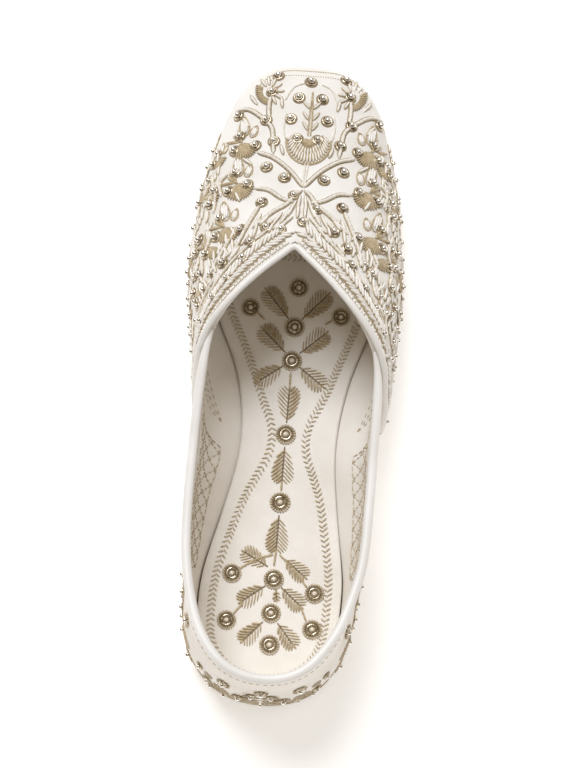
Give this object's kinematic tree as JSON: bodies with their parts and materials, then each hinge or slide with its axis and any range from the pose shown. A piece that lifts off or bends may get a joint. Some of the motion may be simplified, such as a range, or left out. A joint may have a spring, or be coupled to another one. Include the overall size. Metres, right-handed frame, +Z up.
{
  "type": "mojari slip-on shoe",
  "caption": "Right-foot mojari slip-on in off-white silk, with a pointed throat, soft rolled topline, squared toe and beaded thread embroidery.",
  "frame": {"origin": "on the floor under the middle of the shoe's box", "axes": "+Y from heel to toe, +X to the outer side of the foot, +Z up; metres in the record"},
  "size_m": [0.083, 0.2508, 0.0543],
  "materials": {
    "sole leather": "smooth tan vegetable-tanned sole leather, matt edge",
    "insole leather": "soft off-white padded leather with thread and metal-coil embroidery",
    "upper leather": "soft off-white leather, satin",
    "vamp silk": "off-white silk, fine weave, covered in raised embroidery",
    "edge binding": "thin white rolled leather, slight sheen"
  },
  "bodies": {
    "root": {"outsole": "sole leather", "insole": "insole leather", "upper": "upper leather", "vamp": "vamp silk", "topline_binding": "edge binding", "vamp_piping": "edge binding"}
  },
  "joints": []
}
